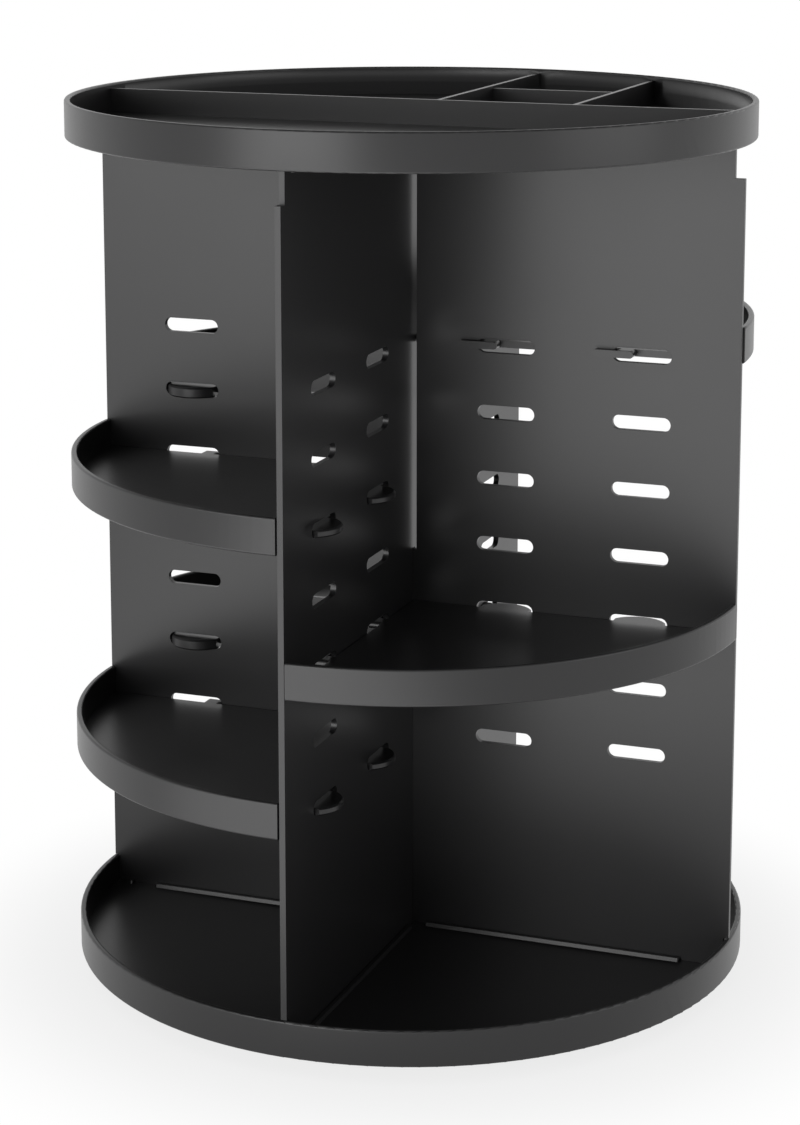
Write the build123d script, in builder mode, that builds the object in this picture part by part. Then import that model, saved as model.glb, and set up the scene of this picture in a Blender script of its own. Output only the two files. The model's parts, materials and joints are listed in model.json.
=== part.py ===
from build123d import *
import os

os.makedirs("parts", exist_ok=True)

# A cosmetics carousel: a round bottom tray turns on a ball bearing above a flat foot, two slotted
# panels stand crosswise in it, a divided tray lies on top, and six quarter-round shelves hook into
# the panels' slots. Millimetres, +Z up, origin on the table under the turning axis. One panel runs
# along X, the other along Y, and the front of the carousel faces -Y.

# Trays and shelves
tray_radius = 115.0
rim_wall = 2.0
floor_thickness = 2.4
rim_edge_radius = 0.7
base_rim_height = 12.1
shelf_rim_height = 12.0
top_rim_height = 12.5

# Dividers of the top tray
divider_wall = 1.6
divider_drop = 1.6
long_divider_y = 4.0
short_divider_left_x = 8.0
short_divider_right_x = 55.5
cross_divider_y = 59.0
cross_divider_drop = 2.4

# Panels
panel_thickness = 2.0
panel_height = 277.7
panel_end_inset = 0.6
panel_foot_gap = 0.4
rim_top_gap = 0.3
lap_height = 134.9
lap_seat_gap = 0.3
upper_lap_gap = 2.55
lower_lap_gap = 0.15
notch_depth = 3.3
notch_height = 10.5

# Slots in the panels
slot_length = 20.0
slot_height = 4.8
inner_slot_radius = 34.2
slot_spacing = 47.0
slot_rows = 7
row_pitch = 22.7
lowest_row_rise = 71.2

# Guide ribs and pips beside the panels' feet and tops
rib_width = 1.6
rib_height = 1.2
rib_gap = 0.1
rib_start = 6.0
rib_end_inset = 17.0
rib_edge_radius = 0.5
pip_inset = 7.5

# Hooks and tongues of a shelf, and how far above the lower edges of its slots a shelf sits
low_seat = 0.3
high_seat = 1.6
side_gap = 0.4
hook_end_gap = 1.2
neck_width = 6.3
lip_gap = 0.3
lip_thickness = 2.0
unlatch_travel = 8.0
latch_margin = 0.5
tongue_width = 17.0
tongue_root = 3.0
tongue_tip_depth = 4.2
tongue_edge = 0.5

# Foot and ball bearing
foot_radius = 80.0
foot_stand = 1.0
foot_thickness = 2.0
foot_edge = 0.5
foot_wall = 1.6
foot_wall_gap = 0.5
bearing_gap = 3.0
ball_diameter = 4.0
ball_count = 12
ball_play = 0.05
race_radius = 58.0
race_side_gap = 0.3
cage_width = 10.0
cage_thickness = 1.6
pocket_gap = 0.25

# Rubber pads under the foot
pad_count = 6
pad_radius = 7.0
pad_inset = 10.0
pad_seat_depth = 0.8
pad_side_gap = 0.15

# Pivot: a spigot under the bottom tray, held in the foot's hub by a screw and a washer
spigot_radius = 4.0
pivot_running_gap = 0.05
hub_wall = 2.0
web_thickness = 1.7
web_top_gap = 0.8
washer_radius = 6.2
washer_thickness = 0.8
washer_play = 0.1
washer_side_gap = 0.8
screw_radius = 1.45
screw_side_gap = 0.05
screw_bite = 5.0
screw_tip_gap = 0.2
screw_head_radius = 3.2
screw_head_height = 1.5
screw_cross_length = 3.6
screw_cross_width = 0.8
screw_cross_depth = 0.8

# Heights above the table
foot_bottom = foot_stand
foot_top = foot_bottom + foot_thickness
base_underside = foot_top + bearing_gap
base_floor = base_underside + floor_thickness
base_rim_top = base_underside + base_rim_height
panel_top = base_floor + panel_height
top_floor = panel_top + floor_thickness
top_rim_top = panel_top + top_rim_height
ball_centre = foot_top + bearing_gap / 2

# Radii and offsets shared by several pieces
rim_inner_radius = tray_radius - rim_wall
panel_reach = tray_radius - panel_end_inset
panel_foot_reach = rim_inner_radius - panel_foot_gap
shelf_side = panel_thickness / 2 + side_gap
race_half_width = ball_diameter / 2 + race_side_gap
race_depth = (ball_diameter - bearing_gap) / 2 + ball_play
slot_radii = [inner_slot_radius, inner_slot_radius + slot_spacing]
rib_end = tray_radius - rib_end_inset
pip_distance = tray_radius - pip_inset
pad_circle_radius = foot_radius - pad_inset


def slot_row_height(row):
    """Height of the centre line of a row of slots, counted from the lowest."""
    return base_floor + lowest_row_rise + row * row_pitch


def add_guide_ribs(tray, root, growth):
    """Add pairs of low ribs and pips along the four arms of the crossed panels.

    They grow upward from a level of the tray, or downward where the growth is negative.
    """
    beside_panel = panel_thickness / 2 + rib_gap + rib_width / 2
    middle = (rib_start + rib_end) / 2
    with BuildSketch(Plane.XY.offset(root)) as ribs:
        with PolarLocations(0, 4):
            with Locations((middle, beside_panel), (middle, -beside_panel)):
                SlotOverall(rib_end - rib_start, rib_width)
            with Locations((pip_distance, beside_panel), (pip_distance, -beside_panel)):
                Circle(rib_width / 2)
    extrude(ribs.sketch, amount=growth)
    tip = root + growth
    margin = rib_edge_radius / 2
    tips = tray.edges().filter_by_position(Axis.Z, tip - margin, tip + margin)
    fillet(tips, rib_edge_radius)


def finish(part, label):
    """Name a finished piece and write it to its own file."""
    part.label = label
    export_step(part, "parts/" + label + ".step")


# Foot plate: a disc with a raised edge, a raceway for the balls and a hub round the spigot
race_inner = race_radius - race_half_width
race_outer = race_radius + race_half_width
web_top = base_underside - web_top_gap
web_bottom = web_top - web_thickness
hub_bore = spigot_radius + pivot_running_gap
hub_recess = washer_radius + washer_side_gap
with BuildPart() as foot_plate:
    with BuildSketch(Plane.XZ):
        with BuildLine():
            Polyline(
                (hub_bore, web_bottom),
                (hub_recess, web_bottom),
                (hub_recess, foot_bottom),
                (foot_radius, foot_bottom),
                (foot_radius, base_underside - foot_wall_gap),
                (foot_radius - foot_wall, base_underside - foot_wall_gap),
                (foot_radius - foot_wall, foot_top),
                (race_outer, foot_top),
                (race_outer, foot_top - race_depth),
                (race_inner, foot_top - race_depth),
                (race_inner, foot_top),
                (hub_recess + hub_wall, foot_top),
                (hub_recess + hub_wall, web_top),
                (hub_bore, web_top),
                close=True,
            )
        make_face()
    revolve(axis=Axis.Z)
    lowest_edges = foot_plate.edges().filter_by(GeomType.CIRCLE).group_by(Axis.Z)[0]
    chamfer(lowest_edges.sort_by(SortBy.RADIUS)[-1], foot_edge)
    with BuildSketch(Plane.XY.offset(foot_bottom)):
        with PolarLocations(pad_circle_radius, pad_count):
            Circle(pad_radius + pad_side_gap)
    extrude(amount=pad_seat_depth, mode=Mode.SUBTRACT)
finish(foot_plate.part, "foot_plate")

# Rubber pads, seated in the foot's shallow recesses
pad_height = foot_stand + pad_seat_depth
for number in range(pad_count):
    turned = Plane.XY.rotated((0, 0, number * 360 / pad_count))
    with BuildPart() as foot_pad:
        with BuildSketch(turned):
            with Locations((pad_circle_radius, 0)):
                Circle(pad_radius)
        extrude(amount=pad_height)
        chamfer(foot_pad.edges().group_by(Axis.Z)[0], foot_stand / 3)
    finish(foot_pad.part, "foot_pad_" + str(number + 1))

# Ball cage: a flat ring with one round pocket for each ball
with BuildPart() as ball_cage:
    with BuildSketch(Plane.XY.offset(ball_centre - cage_thickness / 2)):
        Circle(race_radius + cage_width / 2)
        Circle(race_radius - cage_width / 2, mode=Mode.SUBTRACT)
        with PolarLocations(race_radius, ball_count):
            Circle(ball_diameter / 2 + pocket_gap, mode=Mode.SUBTRACT)
    extrude(amount=cage_thickness)
finish(ball_cage.part, "ball_cage")

# Steel balls, all in one group
with BuildPart(Plane.XY.offset(ball_centre)) as bearing_balls:
    with PolarLocations(race_radius, ball_count):
        Sphere(ball_diameter / 2)
finish(bearing_balls.part, "bearing_balls")

# Bottom tray: floor, rim, raceway and spigot turned in one profile, with guide ribs on the floor
spigot_bottom = web_bottom - washer_play
screw_hole_radius = screw_radius + screw_side_gap
screw_hole_top = spigot_bottom - washer_thickness + screw_bite + screw_tip_gap
with BuildPart() as bottom_tray:
    with BuildSketch(Plane.XZ):
        with BuildLine():
            Polyline(
                (screw_hole_radius, spigot_bottom),
                (spigot_radius, spigot_bottom),
                (spigot_radius, base_underside),
                (race_inner, base_underside),
                (race_inner, base_underside + race_depth),
                (race_outer, base_underside + race_depth),
                (race_outer, base_underside),
                (tray_radius, base_underside),
                (tray_radius, base_rim_top),
                (rim_inner_radius, base_rim_top),
                (rim_inner_radius, base_floor),
                (0, base_floor),
                (0, screw_hole_top),
                (screw_hole_radius, screw_hole_top),
                close=True,
            )
        make_face()
    revolve(axis=Axis.Z)
    rim_edges = bottom_tray.edges().filter_by(GeomType.CIRCLE).group_by(Axis.Z)[-1]
    outer_edges = bottom_tray.edges().filter_by(GeomType.CIRCLE).group_by(SortBy.RADIUS)[-1]
    fillet(rim_edges + [outer_edges.sort_by(Axis.Z)[0]], rim_edge_radius)
    add_guide_ribs(bottom_tray, base_floor, rib_height)
finish(bottom_tray.part, "bottom_tray")

# Pivot washer, clamped against the spigot's end
washer_bottom = spigot_bottom - washer_thickness
with BuildPart() as pivot_washer:
    with BuildSketch(Plane.XY.offset(washer_bottom)):
        Circle(washer_radius)
        Circle(screw_hole_radius, mode=Mode.SUBTRACT)
    extrude(amount=washer_thickness)
finish(pivot_washer.part, "pivot_washer")

# Pivot screw, driven from below into the spigot
with BuildPart() as pivot_screw:
    with BuildSketch(Plane.XY.offset(washer_bottom - screw_head_height)):
        Circle(screw_head_radius)
    extrude(amount=screw_head_height)
    chamfer(pivot_screw.edges().group_by(Axis.Z)[0], screw_head_height / 4)
    with BuildSketch(Plane.XY.offset(washer_bottom)):
        Circle(screw_radius)
    extrude(amount=screw_bite)
    with BuildSketch(Plane.XY.offset(washer_bottom - screw_head_height)):
        Rectangle(screw_cross_length, screw_cross_width)
        Rectangle(screw_cross_width, screw_cross_length)
    extrude(amount=screw_cross_depth, mode=Mode.SUBTRACT)
finish(pivot_screw.part, "pivot_screw")


def panel_sketch(plane, notched_side, lap_width, lap_bottom, lap_top):
    """Outline of one full-width panel with its slots, drawn on an upright plane.

    The plane's x runs along the panel and its y is the height above the table.
    """
    foot_cut_depth = panel_reach - panel_foot_reach
    foot_cut_height = base_rim_top + rim_top_gap - base_floor
    with BuildSketch(plane) as outline:
        with Locations((0, base_floor)):
            Rectangle(2 * panel_reach, panel_height, align=(Align.CENTER, Align.MIN))
        for side in (1, -1):
            with Locations((side * (panel_reach - foot_cut_depth / 2), base_floor)):
                Rectangle(
                    foot_cut_depth,
                    foot_cut_height,
                    align=(Align.CENTER, Align.MIN),
                    mode=Mode.SUBTRACT,
                )
        with Locations((notched_side * (panel_reach - notch_depth / 2), panel_top)):
            Rectangle(
                notch_depth,
                notch_height,
                align=(Align.CENTER, Align.MAX),
                mode=Mode.SUBTRACT,
            )
        with Locations((0, lap_bottom)):
            Rectangle(
                lap_width,
                lap_top - lap_bottom,
                align=(Align.CENTER, Align.MIN),
                mode=Mode.SUBTRACT,
            )
        for row in range(slot_rows):
            height = slot_row_height(row)
            places = [(side * radius, height) for radius in slot_radii for side in (1, -1)]
            with Locations(*places):
                SlotOverall(slot_length, slot_height, mode=Mode.SUBTRACT)
    return outline.sketch


# Panel from left to right, open at the top where the other panel drops in
lap_level = base_floor + lap_height
with BuildPart() as left_right_panel:
    upper_lap = panel_thickness + 2 * upper_lap_gap
    extrude(
        panel_sketch(Plane.XZ, 1, upper_lap, lap_level, panel_top),
        amount=panel_thickness / 2,
        both=True,
    )
finish(left_right_panel.part, "left_right_panel")

# Panel from front to back, open at the bottom and standing astride the first one
front_to_back = Plane(origin=(0, 0, 0), x_dir=(0, -1, 0), z_dir=(-1, 0, 0))
with BuildPart() as front_back_panel:
    lower_lap = panel_thickness + 2 * lower_lap_gap
    extrude(
        panel_sketch(front_to_back, 1, lower_lap, base_floor, lap_level + lap_seat_gap),
        amount=panel_thickness / 2,
        both=True,
    )
finish(front_back_panel.part, "front_back_panel")

# Top tray: a shallow dish with five compartments, located on the panels by ribs underneath
with BuildPart() as top_tray:
    with BuildSketch(Plane.XZ):
        with BuildLine():
            Polyline(
                (0, panel_top),
                (tray_radius, panel_top),
                (tray_radius, top_rim_top),
                (rim_inner_radius, top_rim_top),
                (rim_inner_radius, top_floor),
                (0, top_floor),
                close=True,
            )
        make_face()
    revolve(axis=Axis.Z)
    rim_edges = top_tray.edges().filter_by(GeomType.CIRCLE).group_by(Axis.Z)[-1]
    outer_edges = top_tray.edges().filter_by(GeomType.CIRCLE).group_by(SortBy.RADIUS)[-1]
    fillet(rim_edges + [outer_edges.sort_by(Axis.Z)[0]], rim_edge_radius)
    wall_middle = tray_radius - rim_wall / 2
    with BuildSketch(Plane.XY.offset(top_floor)):
        with Locations((0, long_divider_y)):
            Rectangle(2 * wall_middle, divider_wall)
        for divider_x in (short_divider_left_x, short_divider_right_x):
            with Locations((divider_x, long_divider_y)):
                Rectangle(divider_wall, wall_middle, align=(Align.CENTER, Align.MIN))
        Circle(wall_middle, mode=Mode.INTERSECT)
    extrude(amount=top_rim_top - divider_drop - top_floor)
    with BuildSketch(Plane.XY.offset(top_floor)):
        with Locations((short_divider_left_x, cross_divider_y)):
            Rectangle(
                short_divider_right_x - short_divider_left_x,
                divider_wall,
                align=(Align.MIN, Align.CENTER),
            )
    extrude(amount=top_rim_top - cross_divider_drop - top_floor)
    add_guide_ribs(top_tray, panel_top, -rib_height)
finish(top_tray.part, "top_tray")


def quarter_shelf(label, start_angle, row, seat):
    """A quarter-round shelf that slides outward along its start panel to unlatch.

    In its own plane x runs outward along the start panel and y along the end panel. Two flat
    hooks as thick as the floor pass through the start panel's slots, and two round-nosed
    tongues through the end panel's. The tongues lie low in their slots, whatever the seat, so
    those of a shelf that sits high are thicker and reach a little way under its floor.
    """
    slot_bottom = slot_row_height(row) - slot_height / 2
    underside = slot_bottom + seat
    turned = Plane.XY.rotated((0, 0, start_angle))
    level = turned.offset(underside)
    side_view = Plane(
        origin=turned.from_local_coords((0, 0, underside + floor_thickness / 2)),
        x_dir=turned.x_dir,
        z_dir=turned.y_dir,
    )
    neck_inner = -slot_length / 2 + hook_end_gap
    lip_overhang = unlatch_travel - latch_margin
    tongue_reach = unlatch_travel - panel_thickness / 2 - latch_margin
    tongue_neck = tongue_reach - tongue_tip_depth

    with BuildPart() as shelf:
        # Floor and rim, with the rim left open along both straight sides
        with BuildSketch(level):
            Circle(tray_radius)
            with Locations((shelf_side, shelf_side)):
                Rectangle(
                    tray_radius,
                    tray_radius,
                    align=(Align.MIN, Align.MIN),
                    mode=Mode.INTERSECT,
                )
        extrude(amount=shelf_rim_height)
        with BuildSketch(level.offset(floor_thickness)):
            Circle(rim_inner_radius)
        extrude(amount=shelf_rim_height - floor_thickness, mode=Mode.SUBTRACT)
        arcs = shelf.edges().filter_by(GeomType.CIRCLE)
        outer_arcs = arcs.group_by(SortBy.RADIUS)[-1]
        fillet(arcs.group_by(Axis.Z)[-1] + [outer_arcs.sort_by(Axis.Z)[0]], rim_edge_radius)

        # Tongues with round noses, thinned along the nose
        with BuildSketch(turned.offset(slot_bottom + low_seat)):
            for radius in slot_radii:
                with BuildLine():
                    half = tongue_width / 2
                    Polyline(
                        (-tongue_neck, radius - half),
                        (shelf_side + tongue_root, radius - half),
                        (shelf_side + tongue_root, radius + half),
                        (-tongue_neck, radius + half),
                    )
                    ThreePointArc(
                        (-tongue_neck, radius + half),
                        (-tongue_reach, radius),
                        (-tongue_neck, radius - half),
                    )
                make_face()
        extrude(amount=seat - low_seat + floor_thickness)
        nose_radius = (half**2 + tongue_tip_depth**2) / (2 * tongue_tip_depth)
        noses = [
            arc
            for arc in shelf.edges().filter_by(GeomType.CIRCLE)
            if abs(arc.radius - nose_radius) < tongue_edge / 10
        ]
        chamfer(noses, tongue_edge)

        # Hook necks through the start panel and lips behind it
        with BuildSketch(side_view.offset(shelf_side)):
            for radius in slot_radii:
                with Locations((radius + neck_inner + neck_width / 2, 0)):
                    SlotOverall(neck_width, floor_thickness)
        extrude(amount=-(shelf_side + panel_thickness / 2 + lip_gap + lip_thickness))
        with BuildSketch(side_view.offset(-panel_thickness / 2 - lip_gap)):
            for radius in slot_radii:
                with Locations((radius + neck_inner + (neck_width - lip_overhang) / 2, 0)):
                    SlotOverall(neck_width + lip_overhang, floor_thickness)
        extrude(amount=-lip_thickness)
    finish(shelf.part, label)


# Shelves, each with its start panel's direction in degrees from +X, its row of slots and its seat
shelf_places = {
    "front_left_lower_shelf": (180, 0, low_seat),
    "front_left_upper_shelf": (180, 4, low_seat),
    "front_right_shelf": (270, 2, low_seat),
    "rear_right_shelf": (0, 6, high_seat),
    "rear_left_lower_shelf": (90, 1, high_seat),
    "rear_left_upper_shelf": (90, 5, high_seat),
}
for shelf_name, (start_panel_angle, slot_row, shelf_seat) in shelf_places.items():
    quarter_shelf(shelf_name, start_panel_angle, slot_row, shelf_seat)
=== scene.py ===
import json
import math

import bmesh
import bpy
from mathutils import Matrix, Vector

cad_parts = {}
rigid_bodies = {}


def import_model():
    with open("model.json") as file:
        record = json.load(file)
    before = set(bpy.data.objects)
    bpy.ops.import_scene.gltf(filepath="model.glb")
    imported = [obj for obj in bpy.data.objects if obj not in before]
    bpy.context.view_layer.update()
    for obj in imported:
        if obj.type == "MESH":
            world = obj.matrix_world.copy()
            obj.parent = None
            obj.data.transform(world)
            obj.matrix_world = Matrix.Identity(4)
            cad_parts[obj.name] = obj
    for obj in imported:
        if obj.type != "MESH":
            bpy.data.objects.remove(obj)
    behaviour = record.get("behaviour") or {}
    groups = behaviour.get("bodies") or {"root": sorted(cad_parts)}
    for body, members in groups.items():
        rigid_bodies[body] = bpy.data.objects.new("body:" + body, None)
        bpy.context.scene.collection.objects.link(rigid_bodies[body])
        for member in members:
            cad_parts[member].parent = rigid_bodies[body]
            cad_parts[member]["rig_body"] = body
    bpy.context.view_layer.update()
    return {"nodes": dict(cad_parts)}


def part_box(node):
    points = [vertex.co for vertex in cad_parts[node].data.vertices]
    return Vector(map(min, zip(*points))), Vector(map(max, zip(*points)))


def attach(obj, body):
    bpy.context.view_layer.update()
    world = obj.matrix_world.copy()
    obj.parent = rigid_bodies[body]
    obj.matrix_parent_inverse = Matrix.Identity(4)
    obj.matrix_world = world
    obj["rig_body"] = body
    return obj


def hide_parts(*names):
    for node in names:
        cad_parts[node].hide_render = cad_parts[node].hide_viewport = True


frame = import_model()

bl_info = {
    "name": "Cosmetics Carousel",
    "version": (1, 0, 0),
    "blender": (4, 5, 0),
    "location": "3D View > Sidebar > Carousel",
    "description": "Finishes the mouldings of a turning cosmetics organizer and sets them in a studio",
    "category": "Object",
}

MM = 0.001
MERGE_DISTANCE = 0.001 * MM

# Guide ribs beside the panels' feet and tops, as the trays' solids have them
RIB_LINE = 1.9 * MM
RIB_HALF_WIDTH = 0.8 * MM
RIB_HEIGHT = 1.2 * MM
RIB_TIP_RADIUS = 0.5 * MM
PIP_PLACE = 107.5 * MM

# Half width of the lap that is open at the top of the left-right panel
LAP_HALF_WIDTH = 3.55 * MM

SLACK = 0.02 * MM

SHELVES = [name for name in sorted(frame["nodes"]) if name.endswith("_shelf")]
PADS = [name for name in sorted(frame["nodes"]) if name.startswith("foot_pad_")]


# Settings


class CarouselMoulding(bpy.types.PropertyGroup):
    """Edges, guide ribs and lap of the plastic parts."""

    edge_radius: bpy.props.FloatProperty(
        name="Edge radius",
        description="Widest bevel of the outer edges, narrowed on each piece by its tightest place",
        default=0.3 * MM,
        min=0.0,
        unit="LENGTH",
        precision=5,
    )
    edge_segments: bpy.props.IntProperty(
        name="Edge segments",
        description="Strips of faces in each bevel",
        default=2,
        min=1,
        max=6,
    )
    rib_draft: bpy.props.FloatProperty(
        name="Rib draft",
        description="Lean of the guide ribs' sides that face away from the panels",
        default=math.radians(18.0),
        min=0.0,
        max=math.radians(30.0),
        unit="ROTATION",
    )
    rib_tip: bpy.props.FloatProperty(
        name="Rib tip",
        description="Half width of a guide rib at its tip, on the leaning side",
        default=0.75 * MM,
        min=0.0,
        unit="LENGTH",
        precision=5,
    )
    lap_half_width: bpy.props.FloatProperty(
        name="Lap half width",
        description="Half width of the open lap in the left-right panel",
        default=2.35 * MM,
        min=0.0,
        unit="LENGTH",
        precision=5,
    )


class CarouselFinish(bpy.types.PropertyGroup):
    """Colours and textures of the carousel's materials."""

    shell_colour: bpy.props.FloatVectorProperty(
        name="Shell colour",
        description="Charcoal of the trays, panels, shelves and foot",
        subtype="COLOR",
        size=4,
        default=(0.0098, 0.0096, 0.0101, 1.0),
        min=0.0,
        max=1.0,
    )
    shell_roughness: bpy.props.FloatProperty(
        name="Shell roughness",
        description="Roughness of the satin plastic",
        default=0.34,
        min=0.0,
        max=1.0,
        subtype="FACTOR",
    )
    grain_size: bpy.props.FloatProperty(
        name="Grain size",
        description="Width of one grain of the mould's texture",
        default=0.55 * MM,
        min=0.0,
        unit="LENGTH",
        precision=5,
    )
    grain_depth: bpy.props.FloatProperty(
        name="Grain depth",
        description="Height of the mould's texture",
        default=0.006 * MM,
        min=0.0,
        unit="LENGTH",
        precision=6,
    )
    cage_colour: bpy.props.FloatVectorProperty(
        name="Cage colour",
        description="Natural plastic of the ball cage",
        subtype="COLOR",
        size=4,
        default=(0.62, 0.61, 0.56, 1.0),
        min=0.0,
        max=1.0,
    )
    rubber_colour: bpy.props.FloatVectorProperty(
        name="Rubber colour",
        description="Dark rubber of the pads",
        subtype="COLOR",
        size=4,
        default=(0.022, 0.022, 0.023, 1.0),
        min=0.0,
        max=1.0,
    )
    steel_colour: bpy.props.FloatVectorProperty(
        name="Steel colour",
        description="Bright steel of the balls, the washer and the screw",
        subtype="COLOR",
        size=4,
        default=(0.58, 0.58, 0.57, 1.0),
        min=0.0,
        max=1.0,
    )


class CarouselStudio(bpy.types.PropertyGroup):
    """Camera, lamps and floor."""

    camera_azimuth: bpy.props.FloatProperty(
        name="Camera azimuth",
        description="Direction of the camera, counted from the front towards the right",
        default=math.radians(20.367),
        unit="ROTATION",
    )
    camera_distance: bpy.props.FloatProperty(
        name="Camera distance",
        description="Level distance of the camera from the turning axis",
        default=941.3 * MM,
        unit="LENGTH",
    )
    camera_height: bpy.props.FloatProperty(
        name="Camera height",
        description="Height of the camera above the table",
        default=387.0 * MM,
        unit="LENGTH",
    )
    camera_tilt: bpy.props.FloatProperty(
        name="Camera tilt",
        description="How far the camera looks down from level",
        default=math.radians(10.361),
        unit="ROTATION",
    )
    camera_pan: bpy.props.FloatProperty(
        name="Camera pan",
        description="How far the camera looks to the right of the turning axis",
        default=math.radians(-0.229),
        unit="ROTATION",
    )
    lens: bpy.props.FloatProperty(
        name="Lens",
        description="Focal length on a 36 mm long side, in millimetres",
        default=90.51,
    )
    rise: bpy.props.FloatProperty(
        name="Rise",
        description="Vertical shift of the lens as a share of the long side",
        default=-0.1956,
    )
    key_azimuth: bpy.props.FloatProperty(
        name="Key azimuth",
        description="Direction of the main lamp, counted from the front towards the right",
        default=math.radians(-17.0),
        unit="ROTATION",
    )
    key_glow: bpy.props.FloatProperty(
        name="Key glow",
        description="Brightness of the main lamp's panel, where white paper is 1",
        default=3.2,
    )
    side_azimuth: bpy.props.FloatProperty(
        name="Side azimuth",
        description="Direction of the weaker lamp, counted from the front towards the right",
        default=math.radians(83.0),
        unit="ROTATION",
    )
    side_glow: bpy.props.FloatProperty(
        name="Side glow",
        description="Brightness of the weaker lamp's panel, where white paper is 1",
        default=1.1,
    )
    lamp_width: bpy.props.FloatProperty(
        name="Lamp width",
        description="Width of each standing lamp's panel",
        default=0.9,
        unit="LENGTH",
    )
    lamp_height: bpy.props.FloatProperty(
        name="Lamp height",
        description="Height of each standing lamp's panel, which rests on the floor",
        default=0.7,
        unit="LENGTH",
    )
    lamp_distance: bpy.props.FloatProperty(
        name="Lamp distance",
        description="Level distance of each standing lamp from the turning axis",
        default=1.4,
        unit="LENGTH",
    )
    board_azimuth: bpy.props.FloatProperty(
        name="Board azimuth",
        description="Direction of the lying board, counted from the front towards the right",
        default=math.radians(-8.0),
        unit="ROTATION",
    )
    board_glow: bpy.props.FloatProperty(
        name="Board glow",
        description="Brightness of the board that lies in front of the main lamp and shines upward",
        default=1.9,
    )
    board_width: bpy.props.FloatProperty(
        name="Board width",
        description="Size of the lying board across its direction",
        default=0.5,
        unit="LENGTH",
    )
    board_length: bpy.props.FloatProperty(
        name="Board length",
        description="Size of the lying board along its direction",
        default=1.0,
        unit="LENGTH",
    )
    board_distance: bpy.props.FloatProperty(
        name="Board distance",
        description="Level distance of the lying board's middle from the turning axis",
        default=0.72,
        unit="LENGTH",
    )
    ambient: bpy.props.FloatProperty(
        name="Ambient",
        description="Brightness of the surroundings as they light the object",
        default=0.42,
    )
    ceiling: bpy.props.FloatProperty(
        name="Ceiling",
        description="Brightness of the studio's ceiling in reflections, where the walls are 1",
        default=0.35,
    )


# Node trees


class Wire:
    """An output socket of a node tree that can stand in a Python expression."""

    def __init__(self, tree, socket):
        self.tree = tree
        self.socket = socket

    def maths(self, operation, first, second):
        made = self.tree.nodes.new("ShaderNodeMath")
        made.operation = operation
        for entry, value in zip(made.inputs, (first, second)):
            if isinstance(value, Wire):
                self.tree.links.new(value.socket, entry)
            else:
                entry.default_value = value
        return Wire(self.tree, made.outputs[0])

    def __add__(self, other):
        return self.maths("ADD", self, other)

    def __radd__(self, other):
        return self.maths("ADD", other, self)

    def __sub__(self, other):
        return self.maths("SUBTRACT", self, other)

    def __rsub__(self, other):
        return self.maths("SUBTRACT", other, self)

    def __mul__(self, other):
        return self.maths("MULTIPLY", self, other)

    def __rmul__(self, other):
        return self.maths("MULTIPLY", other, self)

    def larger(self, other):
        return self.maths("MAXIMUM", self, other)


class Material:
    """A new material or world whose nodes are added by one method."""

    def __init__(self, holder):
        holder.use_nodes = True
        self.holder = holder
        self.tree = holder.node_tree
        self.tree.nodes.clear()

    def node(self, kind, settings=None, sockets=None, output=0):
        """Adds a node, applies its settings first and then the values or links of its sockets."""
        made = self.tree.nodes.new(kind)
        for name, value in (settings or {}).items():
            if name == "stops":
                for stop, (position, level) in zip(made.color_ramp.elements, value):
                    stop.position = position
                    stop.color = (level, level, level, 1.0)
            else:
                setattr(made, name, value)
        for name, value in (sockets or {}).items():
            if isinstance(value, Wire):
                self.tree.links.new(value.socket, made.inputs[name])
            else:
                made.inputs[name].default_value = value
        return Wire(self.tree, made.outputs[output]) if made.outputs else None

    def mix_colours(self, factor, first, second):
        settings = {"data_type": "RGBA", "clamp_factor": True}
        sockets = {0: factor, 6: first, 7: second}
        return self.node("ShaderNodeMix", settings, sockets, output=2)


def toned(colour, share):
    """A colour with its strength multiplied by a share, which may be over 1."""
    return (*(channel * share for channel in colour[:3]), 1.0)


def shell_plastic(finish):
    """Charcoal plastic from a spark-eroded mould: satin, with a fine grain, and bevel faces painted
    lighter as edge wear and a painted highlight.
    """
    flow_size = 60 * MM
    material = Material(bpy.data.materials.new("charcoal_satin_plastic"))
    place = material.node("ShaderNodeTexCoord", output="Object")
    grain = material.node(
        "ShaderNodeTexNoise",
        {"noise_dimensions": "3D"},
        {"Vector": place, "Scale": 1.0 / finish.grain_size, "Detail": 2.0, "Roughness": 0.55},
    )
    flow = material.node(
        "ShaderNodeTexNoise",
        {"noise_dimensions": "3D"},
        {"Vector": place, "Scale": 1.0 / flow_size, "Detail": 3.0, "Roughness": 0.5},
    )
    speck = material.node(
        "ShaderNodeValToRGB", {"stops": ((0.35, 0.0), (0.65, 1.0))}, {"Fac": grain}
    )
    # Bevel faces carry edge wear and a painted highlight, shown as a lighter colour
    edge = material.node(
        "ShaderNodeAttribute",
        {"attribute_type": "GEOMETRY", "attribute_name": "edge_wear_and_highlight"},
        output="Fac",
    )
    tone = flow * 0.7 + speck * 0.3
    faces = material.mix_colours(
        tone, toned(finish.shell_colour, 0.9), toned(finish.shell_colour, 1.1)
    )
    # Edge wear and painted highlight: bevel faces take 1.8 times the charcoal colour
    colour = material.mix_colours(edge, faces, toned(finish.shell_colour, 1.8))
    bump = material.node(
        "ShaderNodeBump",
        sockets={"Strength": 1.0, "Distance": finish.grain_depth, "Height": grain},
    )
    roughness = (
        finish.shell_roughness + (flow - 0.5) * 0.06 + (grain - 0.5) * 0.08 - edge * 0.05
    )
    surface = material.node(
        "ShaderNodeBsdfPrincipled",
        sockets={
            "Base Color": colour,
            "Roughness": roughness,
            "Normal": bump,
        },
    )
    material.node("ShaderNodeOutputMaterial", sockets={"Surface": surface})
    return material.holder


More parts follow.
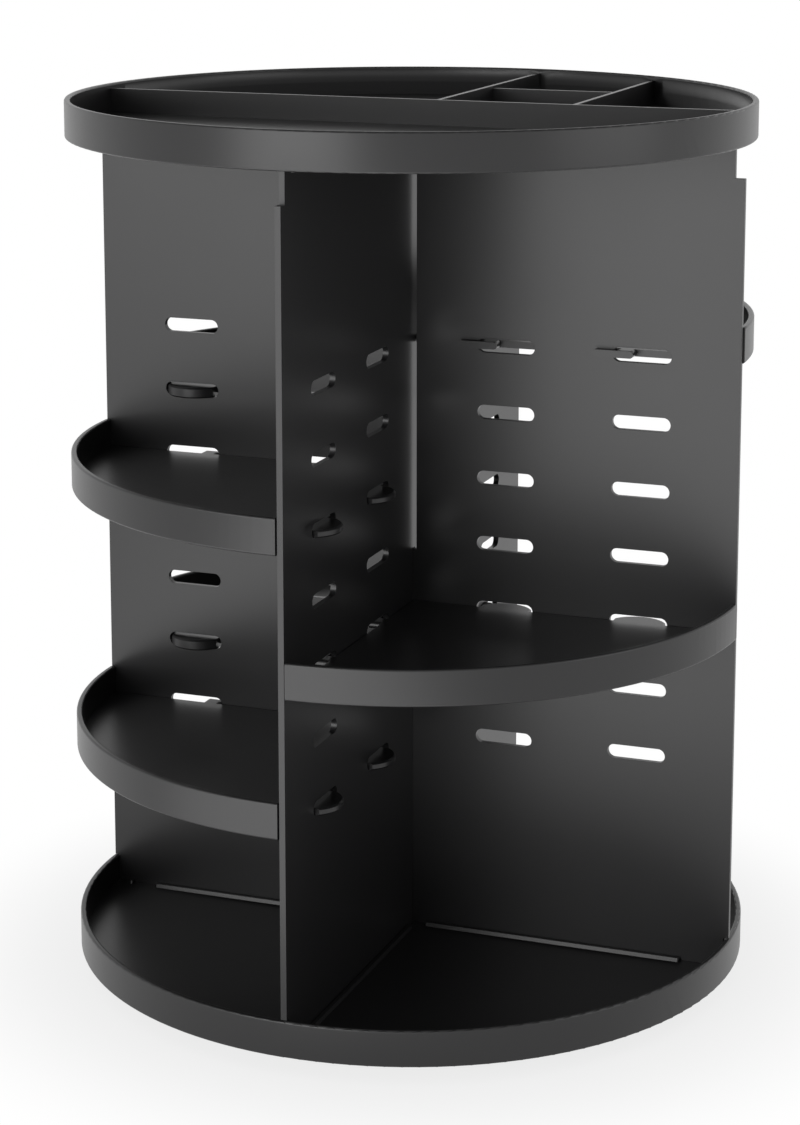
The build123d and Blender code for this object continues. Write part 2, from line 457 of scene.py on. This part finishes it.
def cage_plastic(finish):
    """Unpainted bearing plastic, slightly waxy."""
    cloud_size = 8 * MM
    material = Material(bpy.data.materials.new("natural_bearing_plastic"))
    place = material.node("ShaderNodeTexCoord", output="Object")
    cloud = material.node(
        "ShaderNodeTexNoise", sockets={"Vector": place, "Scale": 1.0 / cloud_size, "Detail": 3.0}
    )
    colour = material.mix_colours(
        cloud, toned(finish.cage_colour, 0.88), finish.cage_colour
    )
    surface = material.node(
        "ShaderNodeBsdfPrincipled",
        sockets={"Base Color": colour, "Roughness": 0.36 + cloud * 0.15},
    )
    material.node("ShaderNodeOutputMaterial", sockets={"Surface": surface})
    return material.holder


def pad_rubber(finish):
    """Dull rubber with a pitted surface."""
    pit_size = 0.6 * MM
    pit_depth = 0.05 * MM
    material = Material(bpy.data.materials.new("dull_pad_rubber"))
    place = material.node("ShaderNodeTexCoord", output="Object")
    pits = material.node(
        "ShaderNodeTexVoronoi", sockets={"Vector": place, "Scale": 1.0 / pit_size}
    )
    colour = material.mix_colours(
        pits, toned(finish.rubber_colour, 0.8), toned(finish.rubber_colour, 1.4)
    )
    bump = material.node(
        "ShaderNodeBump", sockets={"Strength": 0.6, "Distance": pit_depth, "Height": pits}
    )
    surface = material.node(
        "ShaderNodeBsdfPrincipled",
        sockets={"Base Color": colour, "Roughness": 0.78 + pits * 0.1, "Normal": bump},
    )
    material.node("ShaderNodeOutputMaterial", sockets={"Surface": surface})
    return material.holder


def bright_steel(finish):
    """Ground steel with faint scratches."""
    scratch_size = 0.4 * MM
    material = Material(bpy.data.materials.new("bright_steel"))
    place = material.node("ShaderNodeTexCoord", output="Object")
    scratches = material.node(
        "ShaderNodeTexNoise",
        sockets={"Vector": place, "Scale": 1.0 / scratch_size, "Detail": 6.0, "Roughness": 0.7},
    )
    colour = material.mix_colours(
        scratches, toned(finish.steel_colour, 0.85), finish.steel_colour
    )
    surface = material.node(
        "ShaderNodeBsdfPrincipled",
        sockets={
            "Base Color": colour,
            "Metallic": 1.0,
            "Roughness": 0.16 + scratches * 0.18,
        },
    )
    material.node("ShaderNodeOutputMaterial", sockets={"Surface": surface})
    return material.holder


MATERIALS = {
    "shell_plastic": shell_plastic,
    "cage_plastic": cage_plastic,
    "pad_rubber": pad_rubber,
    "steel": bright_steel,
}


def material_for(slot, finish):
    """The material that stands for one of the record's slots, made the first time it is asked for."""
    made = bpy.data.materials.get("finish_" + slot)
    if made is None:
        made = MATERIALS[slot](finish)
        made.name = "finish_" + slot
    return made


def slot_of(node):
    """The record's material slot of a CAD node."""
    return frame["nodes"][node].material_slots[0].material.name.split(".")[0]


# Pieces


def lean_guide_ribs(shape, moulding):
    """Slopes the sides of a tray's guide ribs and pips that face away from the panels."""
    panel_low, panel_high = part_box("left_right_panel")
    for vert in shape.verts:
        rise = min(abs(vert.co.z - panel_low[2]), abs(vert.co.z - panel_high[2]))
        across = 0 if abs(vert.co.x) < abs(vert.co.y) else 1
        along = 1 - across
        beyond = abs(vert.co[across]) - RIB_LINE
        on_rib = 0.0 < beyond < RIB_HALF_WIDTH + SLACK
        inside = abs(vert.co[along]) < PIP_PLACE + RIB_HALF_WIDTH + SLACK
        if rise > RIB_HEIGHT + SLACK or not (on_rib and inside):
            continue
        into_tip = max(0.0, rise - (RIB_HEIGHT - RIB_TIP_RADIUS))
        rounded = math.sqrt(max(0.0, RIB_TIP_RADIUS**2 - into_tip**2))
        width = RIB_HALF_WIDTH - RIB_TIP_RADIUS + rounded
        leaning = moulding.rib_tip + (RIB_HEIGHT - rise) * math.tan(moulding.rib_draft)
        place = RIB_LINE + beyond * leaning / width
        vert.co[across] = math.copysign(place, vert.co[across])


def narrow_lap(shape, moulding):
    """Brings the edges of the panel's open lap nearer to the panel that stands in it."""
    for vert in shape.verts:
        if abs(abs(vert.co.x) - LAP_HALF_WIDTH) < SLACK:
            vert.co.x = math.copysign(moulding.lap_half_width, vert.co.x)


RESHAPING = {
    "bottom_tray": lean_guide_ribs,
    "top_tray": lean_guide_ribs,
    "left_right_panel": narrow_lap,
}


def bevelled_copy(node, name, moulding, finish):
    """A merged copy of a moulding with narrow bevels on its sharp edges, for the CAD node."""
    flat_angle = math.radians(0.5)
    crease_angle = math.radians(35.0)
    sharp_angle = math.radians(40.0)
    slot = slot_of(node)
    shape = bmesh.new()
    shape.from_mesh(frame["nodes"][node].data)
    bmesh.ops.remove_doubles(shape, verts=shape.verts, dist=MERGE_DISTANCE)
    if node in RESHAPING:
        RESHAPING[node](shape, moulding)
    bmesh.ops.dissolve_limit(
        shape, angle_limit=flat_angle, verts=shape.verts, edges=shape.edges
    )
    sharp = [
        edge
        for edge in shape.edges
        if edge.is_manifold and edge.calc_face_angle_signed() > sharp_angle
    ]
    edge_wear_and_highlight_layer = shape.faces.layers.float.new("edge_wear_and_highlight")
    # The guard against overlaps leaves under 0.1 mm on the panels and under 0.02 mm elsewhere
    bevels = bmesh.ops.bevel(
        shape,
        geom=sharp,
        offset=moulding.edge_radius,
        offset_type="OFFSET",
        affect="EDGES",
        segments=moulding.edge_segments,
        profile=0.5,
        material=-1,
        clamp_overlap=True,
    )
    # Marks the bevel faces that the plastic paints lighter, as edge wear and a painted highlight
    for face in bevels["faces"]:
        face[edge_wear_and_highlight_layer] = 1.0
    mesh = bpy.data.meshes.new(name)
    shape.to_mesh(mesh)
    shape.free()
    mesh.materials.clear()
    mesh.materials.append(material_for(slot, finish))
    mesh.shade_smooth()
    mesh.set_sharp_from_angle(angle=crease_angle)
    piece = bpy.data.objects.new(name, mesh)
    bpy.context.scene.collection.objects.link(piece)
    flats = piece.modifiers.new("flat faces stay flat", "WEIGHTED_NORMAL")
    flats.mode = "FACE_AREA"
    flats.weight = 100
    flats.keep_sharp = True
    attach(piece, frame["nodes"][node]["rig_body"])
    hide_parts(node)
    return piece


def dress(node, finish):
    """Gives a CAD node the material of its slot."""
    slot = slot_of(node)
    part = frame["nodes"][node]
    part.material_slots[0].material = material_for(slot, finish)


class CAROUSEL_OT_trays(bpy.types.Operator):
    """Finish the bottom tray and the top tray"""

    bl_idname = "carousel.trays"
    bl_label = "Trays"

    def execute(self, context):
        scene = context.scene
        for node in ("bottom_tray", "top_tray"):
            bevelled_copy(node, node + "_moulding", scene.carousel_moulding, scene.carousel_finish)
        return {"FINISHED"}


class CAROUSEL_OT_panels(bpy.types.Operator):
    """Finish the two crossed panels"""

    bl_idname = "carousel.panels"
    bl_label = "Panels"

    def execute(self, context):
        scene = context.scene
        for node in ("left_right_panel", "front_back_panel"):
            bevelled_copy(node, node + "_moulding", scene.carousel_moulding, scene.carousel_finish)
        return {"FINISHED"}


class CAROUSEL_OT_shelves(bpy.types.Operator):
    """Finish the quarter-round shelves"""

    bl_idname = "carousel.shelves"
    bl_label = "Shelves"

    def execute(self, context):
        scene = context.scene
        for node in SHELVES:
            bevelled_copy(node, node + "_moulding", scene.carousel_moulding, scene.carousel_finish)
        return {"FINISHED"}


class CAROUSEL_OT_foot(bpy.types.Operator):
    """Finish the foot plate and its rubber pads"""

    bl_idname = "carousel.foot"
    bl_label = "Foot"

    def execute(self, context):
        for node in ("foot_plate", *PADS):
            dress(node, context.scene.carousel_finish)
        return {"FINISHED"}


class CAROUSEL_OT_bearing(bpy.types.Operator):
    """Finish the ball cage, the balls, the washer and the screw"""

    bl_idname = "carousel.bearing"
    bl_label = "Bearing"

    def execute(self, context):
        for node in ("ball_cage", "bearing_balls", "pivot_washer", "pivot_screw"):
            dress(node, context.scene.carousel_finish)
        return {"FINISHED"}


class CAROUSEL_OT_studio(bpy.types.Operator):
    """Set up the floor, the lamps, the world and the camera"""

    bl_idname = "carousel.studio"
    bl_label = "Studio"

    def execute(self, context):
        scene = context.scene
        studio = scene.carousel_studio
        scene.view_settings.view_transform = "Standard"
        scene.world = white_world(studio)
        lay_floor()
        stand_lamp("key_lamp", studio.key_azimuth, studio.key_glow, studio)
        stand_lamp("side_lamp", studio.side_azimuth, studio.side_glow, studio)
        lay_board("board_lamp", studio)
        scene.camera = place_camera(studio)
        return {"FINISHED"}


# Studio


def white_world(studio):
    """White walls round the object under a dimmer ceiling, and a dim even light elsewhere."""
    ambient = studio.ambient
    world = Material(bpy.data.worlds.new("studio"))
    rays = world.tree.nodes.new("ShaderNodeLightPath")
    seen = Wire(world.tree, rays.outputs["Is Camera Ray"])
    seen = seen.larger(Wire(world.tree, rays.outputs["Is Transmission Ray"]))
    mirrored = Wire(world.tree, rays.outputs["Is Glossy Ray"])
    direction = world.node("ShaderNodeTexCoord", output="Generated")
    height = world.node("ShaderNodeSeparateXYZ", sockets={0: direction}, output=2)
    walls = world.node(
        "ShaderNodeMapRange",
        {"interpolation_type": "SMOOTHSTEP"},
        {
            "Value": height,
            "From Min": 0.3,
            "From Max": 0.7,
            "To Min": 1.0,
            "To Max": studio.ceiling,
        },
    )
    strength = ambient + seen * (1.0 - ambient) + mirrored * (walls - ambient)
    background = world.node(
        "ShaderNodeBackground", sockets={"Color": (1.0, 1.0, 1.0, 1.0), "Strength": strength}
    )
    world.node("ShaderNodeOutputWorld", sockets={"Surface": background})
    return world.holder


def lay_floor():
    """A wide pale floor that shows white and keeps the object's shadow."""
    half_side = 6.0
    shadow_near = 105 * MM
    shadow_far = 190 * MM
    white_near = 0.8
    shape = bmesh.new()
    bmesh.ops.create_grid(shape, x_segments=1, y_segments=1, size=half_side)
    mesh = bpy.data.meshes.new("floor")
    shape.to_mesh(mesh)
    shape.free()
    material = Material(bpy.data.materials.new("pale_floor"))
    rays = material.tree.nodes.new("ShaderNodeLightPath")
    seen = Wire(material.tree, rays.outputs["Is Camera Ray"])
    for kind in ("Is Glossy Ray", "Is Transmission Ray"):
        seen = seen.larger(Wire(material.tree, rays.outputs[kind]))
    place = material.node("ShaderNodeTexCoord", output="Object")
    reach = material.node(
        "ShaderNodeVectorMath", {"operation": "LENGTH"}, {0: place}, output=1
    )
    share = material.node(
        "ShaderNodeMapRange",
        {"interpolation_type": "SMOOTHSTEP"},
        {
            "Value": reach,
            "From Min": shadow_near,
            "From Max": shadow_far,
            "To Min": white_near,
            "To Max": 1.0,
        },
    )
    matte = material.node(
        "ShaderNodeBsdfDiffuse", sockets={"Color": (0.8, 0.8, 0.8, 1.0), "Roughness": 0.0}
    )
    glow = material.node(
        "ShaderNodeEmission", sockets={"Color": (1.0, 1.0, 1.0, 1.0), "Strength": 1.0}
    )
    surface = material.node("ShaderNodeMixShader", sockets={0: seen * share, 1: matte, 2: glow})
    material.node("ShaderNodeOutputMaterial", sockets={"Surface": surface})
    mesh.materials.append(material.holder)
    floor = bpy.data.objects.new("floor", mesh)
    bpy.context.scene.collection.objects.link(floor)


def soft_lamp(name, width, height, glow, place, turn):
    """An evenly bright panel that the camera doesn't see."""
    lamp = bpy.data.lights.new(name, "AREA")
    lamp.shape = "RECTANGLE"
    lamp.size = width
    lamp.size_y = height
    lamp.energy = glow * math.pi * width * height
    holder = bpy.data.objects.new(name, lamp)
    holder.location = place
    holder.rotation_euler = turn
    holder.visible_camera = False
    bpy.context.scene.collection.objects.link(holder)


def stand_lamp(name, azimuth, glow, studio):
    """A soft lamp that stands on the floor and faces the turning axis."""
    place = (
        studio.lamp_distance * math.sin(azimuth),
        -studio.lamp_distance * math.cos(azimuth),
        studio.lamp_height / 2,
    )
    turn = (math.pi / 2, 0.0, azimuth)
    soft_lamp(name, studio.lamp_width, studio.lamp_height, glow, place, turn)


def lay_board(name, studio):
    """A soft lamp that lies on the floor in front of the main lamp and faces up."""
    azimuth = studio.board_azimuth
    above_floor = 2 * MM
    place = (
        studio.board_distance * math.sin(azimuth),
        -studio.board_distance * math.cos(azimuth),
        above_floor,
    )
    turn = (math.pi, 0.0, azimuth)
    soft_lamp(name, studio.board_width, studio.board_length, studio.board_glow, place, turn)


def place_camera(studio):
    """The camera at the photograph's viewpoint."""
    view = bpy.data.cameras.new("camera")
    view.sensor_width = 36.0
    view.lens = studio.lens
    view.shift_y = studio.rise
    view.clip_start = 0.05
    view.clip_end = 30.0
    holder = bpy.data.objects.new("camera", view)
    holder.location = (
        studio.camera_distance * math.sin(studio.camera_azimuth),
        -studio.camera_distance * math.cos(studio.camera_azimuth),
        studio.camera_height,
    )
    heading = studio.camera_azimuth - studio.camera_pan
    holder.rotation_euler = (math.pi / 2 - studio.camera_tilt, 0.0, heading)
    bpy.context.scene.collection.objects.link(holder)
    return holder


class CAROUSEL_PT_sidebar(bpy.types.Panel):
    """Lists the carousel's pieces and settings"""

    bl_idname = "CAROUSEL_PT_sidebar"
    bl_label = "Cosmetics Carousel"
    bl_space_type = "VIEW_3D"
    bl_region_type = "UI"
    bl_category = "Carousel"

    def draw(self, context):
        for operator in OPERATORS:
            self.layout.operator(operator.bl_idname)
        for settings in SETTINGS:
            group = getattr(context.scene, settings)
            for name in group.bl_rna.properties.keys():
                if name not in ("rna_type", "name"):
                    self.layout.prop(group, name)


OPERATORS = (
    CAROUSEL_OT_trays,
    CAROUSEL_OT_panels,
    CAROUSEL_OT_shelves,
    CAROUSEL_OT_foot,
    CAROUSEL_OT_bearing,
    CAROUSEL_OT_studio,
)
SETTINGS = {
    "carousel_moulding": CarouselMoulding,
    "carousel_finish": CarouselFinish,
    "carousel_studio": CarouselStudio,
}
CLASSES = (*SETTINGS.values(), *OPERATORS, CAROUSEL_PT_sidebar)


def register():
    for kind in CLASSES:
        bpy.utils.register_class(kind)
    for name, kind in SETTINGS.items():
        setattr(bpy.types.Scene, name, bpy.props.PointerProperty(type=kind))


def unregister():
    for name in SETTINGS:
        delattr(bpy.types.Scene, name)
    for kind in reversed(CLASSES):
        bpy.utils.unregister_class(kind)


def main():
    register()
    bpy.ops.carousel.trays()
    bpy.ops.carousel.panels()
    bpy.ops.carousel.shelves()
    bpy.ops.carousel.foot()
    bpy.ops.carousel.bearing()
    bpy.ops.carousel.studio()


if __name__ == "__main__":
    main()
